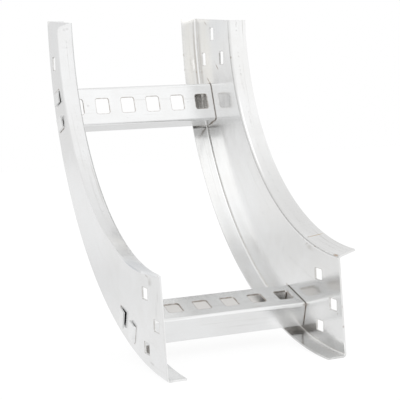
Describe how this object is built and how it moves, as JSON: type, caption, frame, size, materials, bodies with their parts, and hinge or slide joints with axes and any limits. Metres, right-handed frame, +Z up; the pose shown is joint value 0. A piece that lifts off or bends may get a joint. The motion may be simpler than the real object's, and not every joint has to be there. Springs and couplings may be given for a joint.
{
  "type": "cable tray bend",
  "caption": "Inside riser bend for cable tray: curved folded side rails with slotted ends, held apart by perforated channel rungs whose tongues fold over outside the webs.",
  "frame": {"origin": "on the base edge of the lower end, midway between the two side rails", "axes": "+X across the tray towards the right rail, the lower end faces -Y, +Z up, and the upper end faces +Z"},
  "size_m": [0.1818, 0.284, 0.284],
  "materials": {
    "rail_metal": "bright mill finish sheet, slightly brushed along its length",
    "rung_metal": "bright mill finish sheet"
  },
  "bodies": {
    "root": {"side_rail_left": "rail_metal", "side_rail_right": "rail_metal", "rung_lower": "rung_metal", "rung_upper": "rung_metal"}
  },
  "joints": []
}
